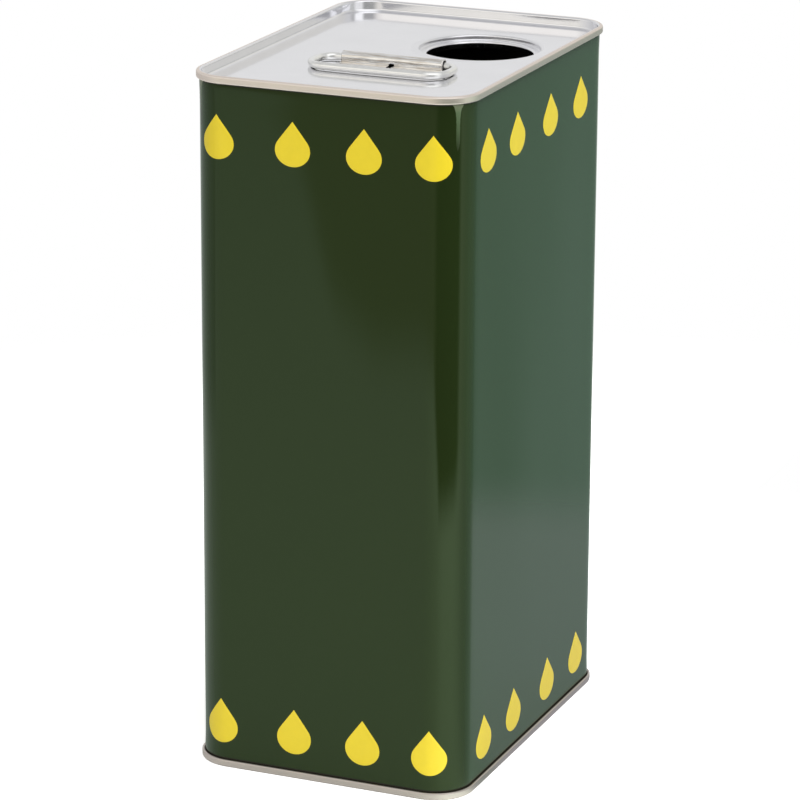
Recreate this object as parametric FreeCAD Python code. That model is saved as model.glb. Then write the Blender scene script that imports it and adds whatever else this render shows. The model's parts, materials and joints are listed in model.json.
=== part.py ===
import FreeCAD, Part
import math
import os

from FreeCAD import Vector

# A five litre oil tin: oblong tinplate body, seamed ends, open pour hole and a swinging wire handle.
# Millimetres. Origin at the middle of the underside, +Z up, X across the narrow front.

# Tin
tin_height = 286.0
body_width = 115.4
body_depth = 161.3
corner_radius = 15.0
body_sheet = 0.30
end_sheet = 0.32

# Lap weld up the middle of the back
lap_width = 1.2
lap_proud = 0.15

# Double seams: the sheets lie this far apart, the compound fills part of that gap, the bead ends flat
seam_height = 3.05
seam_gap = 0.16
bead_flat = 0.5
hook_clearance = 0.05
compound_clearance = 0.03
countersink_radius = 0.9

# Pour hole, pressed into a round recess; its place on the top is a share of the body's width and depth
pour_hole_diameter = 43.0
recess_depth = 2.1
recess_ledge = 3.1
recess_bend_radius = 0.6
rim_depth = 2.6
pour_hole_x_share = 0.180
pour_hole_y_share = 0.181

# Wire handle, lying forward on the top; its axis is a share of the body's depth from the middle
wire_diameter = 3.0
handle_width = 57.8
handle_reach = 19.3
handle_front_bend = 8.0
handle_rear_bend = 6.5
wire_end_gap = 0.6
wire_rest_gap = 0.2
handle_x = 1.4
handle_y_share = -0.105

# Clip: a strap folded over the wire and welded to the top by two flanges
strap_sheet = 0.4
clip_length = 43.2
clip_x = 2.4
clip_flange = 3.4
clip_foot_radius = 0.5
clip_corner_radius = 1.6
clip_notch_width = 2.6
clip_notch_height = 1.4
barrel_clearance = 0.5
barrel_headroom = 0.8
stacking_gap = 0.1

# Modelling aids: how far a cut runs past what it cuts, and when two points count as one
cut_overrun = 5.0
same_point = 0.001
quarter_turn = 90.0
full_turn = 360.0
up = Vector(0, 0, 1)
origin = Vector(0, 0, 0)

# Worked out from the sizes above
wire_radius = wire_diameter / 2
barrel_radius = wire_radius + barrel_clearance
barrel_height = wire_rest_gap + wire_diameter + barrel_headroom + strap_sheet
panel_drop = barrel_height + stacking_gap
panel_top = tin_height - panel_drop
handle_y = handle_y_share * body_depth
handle_axis_z = panel_top + wire_rest_gap + wire_radius

# Layers of a double seam, as distances outwards from the body's outer face
chuck_wall_u = -body_sheet - seam_gap - end_sheet / 2
body_wall_u = -body_sheet / 2
cover_hook_u = seam_gap + end_sheet / 2
body_hook_u = 2 * seam_gap + end_sheet + body_sheet / 2
seam_wall_u = 3 * seam_gap + end_sheet + body_sheet + end_sheet / 2
body_fold_radius = (body_hook_u - body_wall_u) / 2
cover_fold_radius = (seam_wall_u - cover_hook_u) / 2
end_fold_radius = (seam_wall_u - chuck_wall_u - bead_flat) / 2
body_fold_depth = end_sheet + seam_gap + body_sheet / 2


def bent_edges(points, radii):
    """Lines through the points, with a tangent arc of the given radius at each inner corner."""
    edges = []
    start = points[0]
    for before, corner, after, radius in zip(points, points[1:], points[2:], radii):
        back = (before - corner).normalize()
        ahead = (after - corner).normalize()
        half_angle = back.getAngle(ahead) / 2
        tangent = radius / math.tan(half_angle)
        inward = (back + ahead).normalize()
        arc_start = corner + back * tangent
        arc_middle = corner + inward * (radius / math.sin(half_angle) - radius)
        arc_end = corner + ahead * tangent
        edges += line_edge(start, arc_start)
        edges.append(Part.Arc(arc_start, arc_middle, arc_end).toShape())
        start = arc_end
    return edges + line_edge(start, points[-1])


def line_edge(start, end):
    """One straight edge, or none where two bends follow each other directly."""
    if start.isEqual(end, same_point):
        return []
    return [Part.LineSegment(start, end).toShape()]


def shifted(points, radii, shift):
    """The bent line moved sideways by shift, to its left seen against +Y, with its bends' new radii."""
    runs = [(b - a).normalize() for a, b in zip(points, points[1:])]
    lefts = [run.cross(Vector(0, 1, 0)) for run in runs]
    moved = [points[0] + lefts[0] * shift]
    bends = []
    for corner, run, first, second, radius in zip(points[1:], runs, lefts, lefts[1:], radii):
        moved.append(corner + (first + second) * (shift / (1 + first.dot(second))))
        turns_left = second.dot(run) < 0
        bends.append(radius - shift if turns_left else radius + shift)
    moved.append(points[-1] + lefts[-1] * shift)
    return moved, bends


def strip_face(points, radii, sheet):
    """Section of a bent sheet in the XZ plane, from its middle line and the bends' middle radii."""
    left_points, left_radii = shifted(points, radii, sheet / 2)
    right_points, right_radii = shifted(points, radii, -sheet / 2)
    edges = bent_edges(left_points, left_radii) + bent_edges(right_points, right_radii)
    edges += line_edge(left_points[0], right_points[0])
    edges += line_edge(left_points[-1], right_points[-1])
    return Part.Face(Part.Wire(Part.__sortEdges__(edges)))


def profile(*places):
    """Points of a section: distance outwards, height."""
    return [Vector(outwards, 0, height) for outwards, height in places]


def around_body(face):
    """Carry a section round the body: X in it is the distance outwards from the body's outer face."""
    pieces = []
    half_x = body_width / 2
    half_y = body_depth / 2
    run_x = body_width - 2 * corner_radius
    run_y = body_depth - 2 * corner_radius
    sides = [(half_x, run_y, 1, 1), (half_y, run_x, -1, 1), (half_x, run_y, -1, -1), (half_y, run_x, 1, -1)]
    for turn, (half, run, sign_x, sign_y) in enumerate(sides):
        angle = turn * quarter_turn
        straight = face.translated(Vector(half, -run / 2, 0)).extrude(Vector(0, run, 0))
        pieces.append(straight.rotated(origin, up, angle))
        corner = face.translated(Vector(corner_radius, 0, 0)).revolve(origin, up, quarter_turn)
        centre = Vector(sign_x * run_x / 2, sign_y * run_y / 2, 0)
        pieces.append(corner.rotated(origin, up, angle).translated(centre))
    return pieces[0].multiFuse(pieces[1:]).removeSplitter()


def oblong(width, depth, radius, bottom, height):
    """A block with rounded upright edges, centred on the origin."""
    x, y = width / 2, depth / 2
    middle = Vector(0, -y, bottom)
    corners = [Vector(sx * x, sy * y, bottom) for sx, sy in ((1, -1), (1, 1), (-1, 1), (-1, -1))]
    edges = bent_edges([middle] + corners + [middle], [radius] * len(corners))
    return Part.Face(Part.Wire(edges)).extrude(up * height)


def panel_plate(bottom):
    """The flat middle of an end, out to where its countersink bend begins."""
    inset = countersink_radius - chuck_wall_u
    width = body_width - 2 * inset
    depth = body_depth - 2 * inset
    return oblong(width, depth, corner_radius - inset, bottom, end_sheet)


def end_ring():
    """Countersink, chuck wall, seam bead and cover hook of the top end, round the tin."""
    panel_middle = panel_top - end_sheet / 2
    bead_middle = tin_height - end_sheet / 2
    fold_middle = tin_height - seam_height + end_sheet / 2
    hook_end = tin_height - body_fold_depth - body_fold_radius - hook_clearance
    line = profile(
        (chuck_wall_u - countersink_radius, panel_middle),
        (chuck_wall_u, panel_middle),
        (chuck_wall_u, bead_middle),
        (seam_wall_u, bead_middle),
        (seam_wall_u, fold_middle),
        (cover_hook_u, fold_middle),
        (cover_hook_u, hook_end),
    )
    bends = [countersink_radius, end_fold_radius, end_fold_radius, cover_fold_radius, cover_fold_radius]
    return around_body(strip_face(line, bends, end_sheet))


def seam_compound():
    """Sealing compound in the gap between the top end's bead and the body's fold."""
    shift = body_sheet / 2 + seam_gap / 2
    inner_u = body_wall_u - shift
    outer_u = body_hook_u + shift
    crown = tin_height - body_fold_depth + shift
    foot = tin_height - body_fold_depth - body_fold_radius
    line = profile((inner_u, foot), (inner_u, crown), (outer_u, crown), (outer_u, foot))
    bend = body_fold_radius + shift
    return around_body(strip_face(line, [bend, bend], seam_gap - 2 * compound_clearance))


def upside_down(shape):
    """The same form at the other end of the tin."""
    return shape.mirror(Vector(0, 0, tin_height / 2), up)


def body_shell():
    """The tube with its two body hooks and the lap weld up the back."""
    fold_low = body_fold_depth
    fold_high = tin_height - body_fold_depth
    hook_length = seam_height - end_sheet / 2 - cover_fold_radius - hook_clearance
    line = profile(
        (body_hook_u, hook_length),
        (body_hook_u, fold_low),
        (body_wall_u, fold_low),
        (body_wall_u, fold_high),
        (body_hook_u, fold_high),
        (body_hook_u, tin_height - hook_length),
    )
    tube = around_body(strip_face(line, [body_fold_radius] * 4, body_sheet))
    lap_height = tin_height - 2 * (seam_height + seam_gap)
    lap_corner = Vector(-lap_width / 2, body_depth / 2 - body_sheet / 2, seam_height + seam_gap)
    lap = Part.makeBox(lap_width, body_sheet / 2 + lap_proud, lap_height, lap_corner)
    return tube.fuse(lap).removeSplitter()


def pour_recess(centre):
    """The round recess, its ledge and the turned-down rim of the pour hole."""
    panel_middle = panel_top - end_sheet / 2
    ledge_middle = panel_middle - recess_depth
    rim_r = pour_hole_diameter / 2 + end_sheet / 2
    wall_r = rim_r + recess_ledge
    line = profile(
        (wall_r + recess_bend_radius, panel_middle),
        (wall_r, panel_middle),
        (wall_r, ledge_middle),
        (rim_r, ledge_middle),
        (rim_r, ledge_middle - rim_depth),
    )
    section = strip_face(line, [recess_bend_radius] * 3, end_sheet)
    ring = section.revolve(origin, up, full_turn).translated(centre)
    opening_r = wall_r + recess_bend_radius
    return ring, Part.makeCylinder(opening_r, end_sheet, centre + up * (panel_top - end_sheet))


def top_end():
    """Top of the tin: seamed edge, sunk panel and pour hole."""
    centre = Vector(pour_hole_x_share * body_width, pour_hole_y_share * body_depth, 0)
    ring, opening = pour_recess(centre)
    plate = panel_plate(panel_top - end_sheet).cut(opening)
    return plate.multiFuse([end_ring(), ring]).removeSplitter()


def bottom_end():
    """Bottom of the tin: the same seamed edge round a plain raised panel."""
    plate = panel_plate(panel_top - end_sheet)
    return upside_down(plate.fuse(end_ring()).removeSplitter())


def handle_clip():
    """Strap folded over the wire, with a flange on each side and a notch in the front one."""
    half_width = barrel_radius + strap_sheet / 2
    foot = panel_top + strap_sheet / 2
    crown = panel_top + barrel_height - strap_sheet / 2
    reach = half_width + clip_flange
    line = profile((-reach, foot), (-half_width, foot), (-half_width, crown),
                   (half_width, crown), (half_width, foot), (reach, foot))
    bends = [clip_foot_radius, half_width, half_width, clip_foot_radius]
    section = strip_face(line, bends, strap_sheet).rotated(origin, up, quarter_turn)
    strap = section.translated(Vector(-clip_length / 2, 0, 0)).extrude(Vector(clip_length, 0, 0))
    plan = oblong(clip_length, 2 * reach, clip_corner_radius, panel_top, barrel_height)
    notch_depth = clip_flange + strap_sheet + clip_foot_radius + cut_overrun
    notch_corner = Vector(-clip_notch_width / 2, -half_width + strap_sheet - notch_depth, panel_top)
    notch = Part.makeBox(clip_notch_width, notch_depth, clip_notch_height, notch_corner)
    clip = strap.common(plan).cut(notch).removeSplitter()
    return clip.translated(Vector(clip_x, handle_y, 0))


def wire_handle():
    """One length of wire bent to a loop, its ends meeting inside the clip."""
    half_gap = wire_end_gap / 2
    half_width = handle_width / 2
    corners = [(half_gap, 0), (half_width, 0), (half_width, -handle_reach),
               (-half_width, -handle_reach), (-half_width, 0), (-half_gap, 0)]
    line = [Vector(handle_x + x, handle_y + y, handle_axis_z) for x, y in corners]
    bends = [handle_rear_bend, handle_front_bend, handle_front_bend, handle_rear_bend]
    path = Part.Wire(bent_edges(line, bends))
    section = Part.Wire(Part.makeCircle(wire_radius, line[0], Vector(1, 0, 0)))
    return path.makePipeShell([section], True, False)


def main():
    """Write each piece to its own file."""
    pieces = {
        "body_shell": body_shell(),
        "top_end": top_end(),
        "bottom_end": bottom_end(),
        "top_seam_compound": seam_compound(),
        "bottom_seam_compound": upside_down(seam_compound()),
        "handle_clip": handle_clip(),
        "wire_handle": wire_handle(),
    }
    os.makedirs("parts", exist_ok=True)
    for name, shape in pieces.items():
        shape.exportStep("parts/" + name + ".step")
        box = shape.BoundBox
        print(name, len(shape.Solids), shape.isValid(), round(shape.Volume, 1),
              [round(v, 2) for v in (box.XMin, box.XMax, box.YMin, box.YMax, box.ZMin, box.ZMax)])


main()
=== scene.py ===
import json
import math

import bmesh
import bpy
import numpy as np
from bpy.props import FloatProperty, FloatVectorProperty, PointerProperty
from mathutils import Matrix, Vector


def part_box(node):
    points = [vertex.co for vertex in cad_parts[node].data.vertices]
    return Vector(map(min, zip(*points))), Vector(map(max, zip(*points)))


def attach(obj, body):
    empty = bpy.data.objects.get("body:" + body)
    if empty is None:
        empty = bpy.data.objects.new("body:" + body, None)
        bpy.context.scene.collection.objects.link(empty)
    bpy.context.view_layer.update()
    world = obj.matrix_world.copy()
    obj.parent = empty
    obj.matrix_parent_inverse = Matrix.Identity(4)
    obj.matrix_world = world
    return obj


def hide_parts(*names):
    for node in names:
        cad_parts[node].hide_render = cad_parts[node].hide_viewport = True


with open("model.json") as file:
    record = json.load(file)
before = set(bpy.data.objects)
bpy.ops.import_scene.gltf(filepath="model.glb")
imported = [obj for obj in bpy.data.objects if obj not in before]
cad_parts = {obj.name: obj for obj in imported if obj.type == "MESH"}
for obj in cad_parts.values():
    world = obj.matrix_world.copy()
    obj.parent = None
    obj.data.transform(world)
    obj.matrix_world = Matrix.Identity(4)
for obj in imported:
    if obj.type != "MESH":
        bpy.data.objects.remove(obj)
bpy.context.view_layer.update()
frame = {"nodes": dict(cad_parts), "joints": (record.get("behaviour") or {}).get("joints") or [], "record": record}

bl_info = {
    "name": "Oil Tin",
    "version": (1, 0, 0),
    "blender": (4, 5, 0),
    "location": "3D View > Sidebar > Oil Tin",
    "description": "Dresses an oblong five litre oil tin with its print, ends, clip, wire handle and stage",
    "category": "Object",
}

# Metres throughout. The tin stands on z = 0 with its narrow front towards -Y.
MM = 0.001
SHARP_EDGE = math.radians(35)

# What the frame says
tin_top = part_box("top_end")[1]
clip_low, clip_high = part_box("handle_clip")
wire_low, wire_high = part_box("wire_handle")
pour_hole = next(m for m in frame["record"]["mounts"] if m["name"] == "pour_opening")
swing = Vector(frame["joints"][0]["pos_m"])

# A double seam: the sheets of body and end, the gap that the sealing compound fills, and its height
BODY_SHEET = 0.30 * MM
END_SHEET = 0.32 * MM
SEAM_GAP = 0.16 * MM
SEAM_HEIGHT = 3.05 * MM
SEAM_OVERHANG = 3 * SEAM_GAP + 2 * END_SHEET + BODY_SHEET

# Mesh steps along a face, and their count on each upright corner
BODY_STEP, BODY_CORNER_STEPS = 3.4 * MM, 22
END_STEP, END_CORNER_STEPS = 1.6 * MM, 26

# Slow unevenness of the walls: each sine's weight, and its waves across a face, up the tin and round it
WALL_RIPPLES = ((1.0, 5.3, 4.1, 1), (0.6, -3.7, 7.9, 2))
# Slow unevenness of the panels: two crossed sines, by the distance of one radian and the start in radians
PANEL_WAVES = (13 * MM, 17 * MM)
PANEL_PHASES = (1.1, 0.4)

# Lacquer on the strained corners, from the streak's end up to the seam: share of its length, and colour. It
# starts from the lacquer's own colour and grows paler towards the seam: a painted highlight.
STRAIN_HIGHLIGHT_TONES = ((0.5, "#45563a"), (0.82, "#55674a"), (1.0, "#7a8068"))

# The stage as the tin mirrors it, by bearing in degrees from the front, round the tin's front right corner.
# First the paper: its tone, which is painted light and shade (brightest to the front right, darker behind the
# tin), the share of the sweep radius it reaches, and the shares of that where it fades.
STAGE_CORNER = (42.7 * MM, -65.7 * MM, 0)
PAPER_PAINTED_LIGHT = [
    (-180, 0.6), (-20, 0.6, 0.62, 0.61), (0, 0.64, 0.67, 0.65), (20, 0.74, 0.78, 0.75), (38, 0.93, 1.0, 0.95),
    (66, 0.93, 1.0, 0.95), (76, 0.84, 0.9, 0.86), (86, 0.7, 0.75, 0.72), (97, 0.5, 0.53, 0.53),
    (109, 0.36, 0.39, 0.39), (123, 0.3, 0.34, 0.34), (138, 0.29, 0.32, 0.32), (155, 0.36, 0.37, 0.41),
    (180, 0.36, 0.37, 0.41)]
PAPER_REACH = [
    (-180, 0.4), (-60, 0.4), (-48, 1.0), (-27.5, 1.0), (-25, 0.45), (5, 0.42), (25, 0.26), (42, 0.26),
    (70, 0.27), (100, 0.33), (130, 0.26), (180, 0.25)]
PAPER_FADE = (0.82, 1.12)
# Then the room: its light low and high on the walls, and overhead, with the heights (the upward part of a
# direction) between which one passes into the next.
ROOM_LOW = [
    (-180, 0.6), (-60, 0.5), (-30, 0.48, 0.46, 0.36), (4, 0.48, 0.46, 0.36), (16, 0.11, 0.13, 0.09),
    (78, 0.11, 0.13, 0.09), (88, 0.9, 0.95, 0.85), (105, 0.6, 0.7, 0.6), (118, 0.51, 0.63, 0.53),
    (132, 0.37, 0.46, 0.39), (149, 0.22, 0.27, 0.26), (158.2, 0.27, 0.33, 0.32), (160, 0.34, 0.41, 0.41),
    (180, 0.4)]
ROOM_HIGH = [
    (-180, 0.78), (-150, 0.8), (-90, 0.66), (-40, 0.97, 0.95, 0.9), (-22, 1.08, 1.05, 0.99),
    (0, 0.93, 0.9, 0.86), (20, 0.45), (46, 0.45), (57, 1.15), (76, 1.15), (88, 0.5), (105, 0.7),
    (150, 0.73, 0.72, 0.68), (165, 0.79, 0.78, 0.74), (180, 0.78)]
ROOM_TOP = 0.6
LOW_TO_HIGH = (-0.1, 0.2)
HIGH_TO_TOP = (0.45, 0.75)
# A soft glare from the front right, by its direction, the cosines of its outer and inner edge, and its level
GLARE_WAY = (0.34, -0.34, 0.877)
GLARE_EDGES = (0.8, 0.98)
GLARE_LEVEL = 1.3
# The softboxes' places and sizes
OVERHEAD_PLACE, OVERHEAD_SIZE = (0.75, -0.35, 1.7), (1.5, 1.5)
KEY_PLACE, KEY_SIZE = (2.05, -1.6, 2.0), (1.8, 1.4)
WHITE = "#ffffff"


def linear(hex_colour):
    """An sRGB hex colour as linear red, green, blue and alpha."""
    srgb = np.array([int(hex_colour[i:i + 2], 16) for i in (1, 3, 5)]) / 255
    channels = np.where(srgb <= 0.04045, srgb / 12.92, ((srgb + 0.055) / 1.055) ** 2.4)
    return (*channels.tolist(), 1.0)


def number(name, description, default, unit="NONE", precision=3):
    """A number that a user can change."""
    return FloatProperty(name=name, description=description, default=default, unit=unit, precision=precision)


def length(name, description, default):
    """A size in metres that a user can change."""
    return number(name, description, default, "LENGTH", 5)


def angle(name, description, degrees):
    """An angle that a user can change."""
    return FloatProperty(name=name, description=description, default=math.radians(degrees), subtype="ANGLE")


def colour(name, description, hex_colour):
    """A colour that a user can change."""
    return FloatVectorProperty(
        name=name, description=description, default=linear(hex_colour), size=4, subtype="COLOR", min=0, max=1)


def places(name, description, millimetres):
    """Four places along a face that a user can change."""
    default = [place * MM for place in millimetres]
    return FloatVectorProperty(name=name, description=description, default=default, size=4, unit="LENGTH")


class BodyLook(bpy.types.PropertyGroup):
    """Sizes and colours of the tin's body"""
    width: length("Width", "Across the narrow front", 2 * (tin_top.x - SEAM_OVERHANG))
    depth: length("Depth", "From the front to the back", 2 * (tin_top.y - SEAM_OVERHANG))
    height: length("Height", "Over both seams", tin_top.z)
    corner_radius: length("Corner radius", "Outside radius of the upright corners", 15 * MM)
    sheet: length("Sheet", "Thickness of the body's tinplate", BODY_SHEET)
    bulge: length("Bulge", "How far each face swells outwards at its middle", 0.22 * MM)
    ripple: length("Ripple", "Height of the faces' slow unevenness", 0.035 * MM)
    flare: length("Flare", "Swell of the corners just under each seam", 0.22 * MM)
    flare_depth: length("Flare depth", "Distance of the swell's crest from the seam", 1.8 * MM)
    mark_length: length("Mark length", "Length of the strained streak down each corner", 18.5 * MM)
    mark_width: length("Mark width", "Width of that streak", 1.7 * MM)
    mark_head: length("Mark head", "Extra width of that streak at the seam", 4.6 * MM)
    lap_width: length("Lap width", "Width of the weld up the back", 1.2 * MM)
    lap_proud: length("Lap height", "How far the weld stands proud", 0.15 * MM)
    # The line along each seam is painted shade: a dark band on the lacquer under the seam's overhang.
    seam_shade_line: length("Edge line", "Height of the oily line along each seam", 0.65 * MM)
    bare_margin: length("Bare margin", "Unprinted strip on each side of the weld", 3.4 * MM)
    lacquer: colour("Lacquer", "Stove lacquer outside", "#1d270e")
    lining: colour("Lining", "Lacquer inside the tin", "#17110a")


class DropLook(bpy.types.PropertyGroup):
    """Sizes and colour of the printed drops"""
    width: length("Width", "Width of a drop", 15.0 * MM)
    height: length("Height", "Height of a drop", 19.0 * MM)
    upper_margin: length("Upper margin", "From the tin's top to the middle of the upper row", 24.2 * MM)
    lower_margin: length("Lower margin", "From the base to the middle of the lower row", 19.5 * MM)
    narrow_places: places("Narrow places", "Drops on a narrow face from its middle", (-45.2, -12.8, 17.1, 45.7))
    wide_upper: places("Wide upper", "Upper drops on a wide face from its middle", (-53.8, -23.2, 13.1, 47.4))
    wide_lower: places("Wide lower", "Lower drops on a wide face from its middle", (-51.5, -18.8, 19.6, 53.6))
    wide_stretch: number("Wide stretch", "Width of the drops on the wide faces against the others", 1.11)
    upper_squash: number("Upper squash", "Height of the upper row's drops against the lower row's", 0.94)
    wide_squash: number("Wide squash", "Height of the drops on the wide faces against the others", 0.97)
    wide_sink: length("Wide sink", "How much lower the drops lie on the wide faces", 1.1 * MM)
    widest: number("Widest", "Where a drop is widest, from its tip, as a share of its height", 0.64)
    taper: number("Taper", "Slope of a tip's sides against a plain triangle's", 1.21)
    ink_thickness: length("Ink thickness", "How far the ink stands proud", 0.04 * MM)
    ink: colour("Ink", "Yellow of the drops", "#e6cd2f")


class EndLook(bpy.types.PropertyGroup):
    """Sizes and colour of the two seamed ends"""
    sheet: length("Sheet", "Thickness of the ends' tinplate", END_SHEET)
    seam_height: length("Seam height", "Height of the double seams", SEAM_HEIGHT)
    seam_gap: length("Seam gap", "Between the layers of a seam", SEAM_GAP)
    bead_flat: length("Bead flat", "Flat land along a seam's crest", 0.5 * MM)
    countersink_radius: length("Countersink radius", "Bend from the panel to the upright wall", 1.3 * MM)
    panel_drop: length("Panel drop", "How far the panel lies below the seam", tin_top.z - clip_low.z)
    hole_radius: length("Hole radius", "Radius of the pour hole", pour_hole["dims"]["r_mm"] * MM)
    recess_depth: length("Recess depth", "How far the hole's ledge is sunk", 2.1 * MM)
    ledge: length("Ledge", "Width of the ledge round the hole", 3.1 * MM)
    bend_radius: length("Bend radius", "Bends of the recess", 0.6 * MM)
    rim_depth: length("Rim depth", "Height of the rim turned down into the tin", 2.6 * MM)
    panel_ripple: length("Panel ripple", "Height of the panels' slow unevenness", 0.03 * MM)
    tin: colour("Tin", "Bright tinplate", "#f0f0f3")
    seam: colour("Seam", "Tinplate burnished by the seaming rolls", "#f3e8df")


class ClipLook(bpy.types.PropertyGroup):
    """Sizes and colour of the handle's clip"""
    sheet: length("Sheet", "Thickness of the strap", 0.4 * MM)
    flange: length("Flange", "Width of each welded foot", 3.4 * MM)
    foot_radius: length("Foot radius", "Bend between foot and barrel", 0.5 * MM)
    corner_radius: length("Corner radius", "Rounded corners of the feet", 1.6 * MM)
    notch_width: length("Notch width", "Width of the notch in the front foot", 2.2 * MM)
    notch_height: length("Notch height", "Height of the notch in the front foot", 1.1 * MM)
    weld_radius: length("Weld radius", "Radius of a spot weld's dimple", 1.1 * MM)
    weld_depth: length("Weld depth", "Depth of a spot weld's dimple", 0.12 * MM)
    dent: length("Dent", "Depth of the barrel's hammered unevenness", 0.12 * MM)
    strap: colour("Strap", "Warm tinplate of the strap", "#fff3e2")


class WireLook(bpy.types.PropertyGroup):
    """Sizes and colour of the wire handle"""
    diameter: length("Diameter", "Thickness of the wire", wire_high.z - wire_low.z)
    front_bend: length("Front bend", "Bend radius at the loop's front corners", 8.0 * MM)
    rear_bend: length("Rear bend", "Bend radius beside the clip", 6.5 * MM)
    end_gap: length("End gap", "Between the wire's two ends inside the clip", 0.6 * MM)
    waver: length("Waver", "How far the hand-bent wire strays from straight", 0.12 * MM)
    zinc: colour("Zinc", "Galvanised wire", "#f6f6f4")


class StageLook(bpy.types.PropertyGroup):
    """Camera, floor and light"""
    azimuth: angle("Azimuth", "Camera's turn to the right of the front", 22.75)
    elevation: angle("Elevation", "Camera's height above the horizon", 17.0)
    roll: angle("Roll", "Camera's lean", 0.32)
    distance: length("Distance", "From the camera to the middle of the tin", 1.6474)
    aside: length("Aside", "How far the tin's middle sits to the right of the picture's", 1.14 * MM)
    above: length("Above", "How far the tin's middle sits above the picture's", 4.67 * MM)
    lens: number("Lens", "Focal length on a 36 mm sensor", 181.0, "CAMERA")
    sweep_radius: length("Sweep radius", "How far the bright floor reaches at most", 1.5)
    floor_glow: number("Floor glow", "How much the lit floor washes out to white", 0.47)
    overhead_power: number("Overhead", "Power of the softbox overhead", 27.0, "POWER")
    key_power: number("Key", "Power of the softbox at the front right", 25.0, "POWER")


def outline_stops(sizes):
    """Distances round the body, from the middle of the front towards +X, where faces and corners begin."""
    run_x = sizes.width / 2 - sizes.corner_radius
    run_y = sizes.depth / 2 - sizes.corner_radius
    bend = sizes.corner_radius * math.pi / 2
    return np.cumsum([0, run_x, bend, 2 * run_y, bend, 2 * run_x, bend, 2 * run_y, bend, run_x])


def outline(sizes, along):
    """The body's outline in plan at distances along it: an inner point, the outward direction and its angle.

    The outline is an oblong's border widened by the corner radius. On a face the inner point slides from
    one inner corner to the next and the direction stays. On a corner the point stays and the direction turns
    a quarter. So both are linear between the stops.
    """
    stops = outline_stops(sizes)
    run_x = sizes.width / 2 - sizes.corner_radius
    run_y = sizes.depth / 2 - sizes.corner_radius
    along = np.mod(along, stops[-1])
    turn = np.interp(along, stops, np.radians([0, 0, 90, 90, 180, 180, 270, 270, 360, 360]))
    inner_x = np.interp(along, stops, run_x * np.array([0, 1, 1, 1, 1, -1, -1, -1, -1, 0]))
    inner_y = np.interp(along, stops, run_y * np.array([-1, -1, -1, 1, 1, 1, 1, -1, -1, -1]))
    return np.stack([inner_x, inner_y], -1), np.stack([np.sin(turn), -np.cos(turn)], -1), turn


def outline_spots(sizes, face_step, corner_steps, extra=()):
    """Distances round the body: one per face_step on faces, corner_steps on each corner, and extra ones."""
    stops = outline_stops(sizes)
    spots = []
    for index, (start, end) in enumerate(zip(stops, stops[1:])):
        is_corner = index % 2 == 1
        count = corner_steps if is_corner else math.ceil((end - start) / face_step)
        spots.append(np.linspace(start, end, count, endpoint=False))
    spots = np.concatenate(spots)
    for spot in extra:
        spots = spots[np.abs(spots - spot) > face_step / 8]
    return np.sort(np.append(spots, extra))


def swell(sizes, along, height):
    """How far the body stands out from its plain outline.

    On a face the swell is bulge times (1 - a^2)^2 across it, with a from -1 to 1, times a half sine up the
    tin, plus slow sines for the ripple. Under each seam the corners flare by x * exp(1 - x), with x the
    distance from the seam over the depth of the flare's crest.
    """
    inner, _, turn = outline(sizes, along)
    across = np.where(
        np.abs(np.sin(turn)) > 0.5,
        inner[..., 1] / (sizes.depth / 2 - sizes.corner_radius),
        inner[..., 0] / (sizes.width / 2 - sizes.corner_radius))
    share = np.clip(height / sizes.height, 0, 1)
    face = (1 - across ** 2) ** 2 * np.sin(np.pi * share)
    ripple = sum(weight * np.sin(aside * across + upwards * share + round_about * turn)
                 for weight, aside, upwards, round_about in WALL_RIPPLES)
    from_seam = np.minimum(height, sizes.height - height) - SEAM_HEIGHT
    crest = np.clip(from_seam / sizes.flare_depth, 0, None)
    flare = crest * np.exp(1 - crest) * (0.25 + 0.75 * np.abs(np.sin(2 * turn)))
    return face * (sizes.bulge + sizes.ripple * ripple) + sizes.flare * flare


def on_body(sizes, along, height, outwards):
    """Points beside the body: distance along its outline, height, and distance outwards from its face."""
    inner, direction, _ = outline(sizes, along)
    plan = inner + direction * (sizes.corner_radius + outwards)[..., None]
    return np.concatenate([plan, np.broadcast_to(height, along.shape)[..., None]], -1)


def bent_line(corners, radii, turn_step=math.radians(12)):
    """Straight runs joined by tangent arcs, as points and their left-hand directions.

    An arc of radius r that turns by an angle t begins r * tan(t / 2) before its corner. Its points lie r from
    its centre, along the left-hand direction turned step by step from that of one run to that of the next.
    """
    corners = np.array(corners, float)
    runs = np.diff(corners, axis=0)
    runs /= np.linalg.norm(runs, axis=1)[:, None]
    lefts = np.stack([-runs[:, 1], runs[:, 0]], -1)
    points, sides = [corners[:1]], [lefts[:1]]
    for corner, run, ahead, left, radius in zip(corners[1:], runs, runs[1:], lefts, radii):
        turn = math.atan2(run[0] * ahead[1] - run[1] * ahead[0], run @ ahead)
        steps = np.linspace(0, turn, 1 + math.ceil(abs(turn) / turn_step))[:, None]
        side = left * np.cos(steps) - run * np.sin(steps)
        signed = math.copysign(radius, turn)
        centre = corner - run * (radius * math.tan(abs(turn) / 2)) + left * signed
        points.append(centre - side * signed)
        sides.append(side)
    points = np.concatenate(points + [corners[-1:]])
    sides = np.concatenate(sides + [lefts[-1:]])
    fresh = np.append(True, np.linalg.norm(np.diff(points, axis=0), axis=1) > 0.001 * MM)
    return points[fresh], sides[fresh]


def grid_faces(rows, columns, wrap_rows, wrap_columns):
    """Four-cornered faces between neighbouring rows and columns of points, numbered row by row."""
    row = np.arange(rows if wrap_rows else rows - 1)[:, None]
    column = np.arange(columns if wrap_columns else columns - 1)[None, :]
    below = (row + 1) % rows
    beside = (column + 1) % columns
    corners = [row * columns + column, row * columns + beside,
               below * columns + beside, below * columns + column]
    return np.stack(np.broadcast_arrays(*corners), -1).reshape(-1, 4)


def copies_of(faces, count, points_each):
    """The same faces on each of several equal groups of points."""
    return (np.arange(count)[:, None, None] * points_each + faces[None]).reshape(-1, faces.shape[1])


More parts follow.
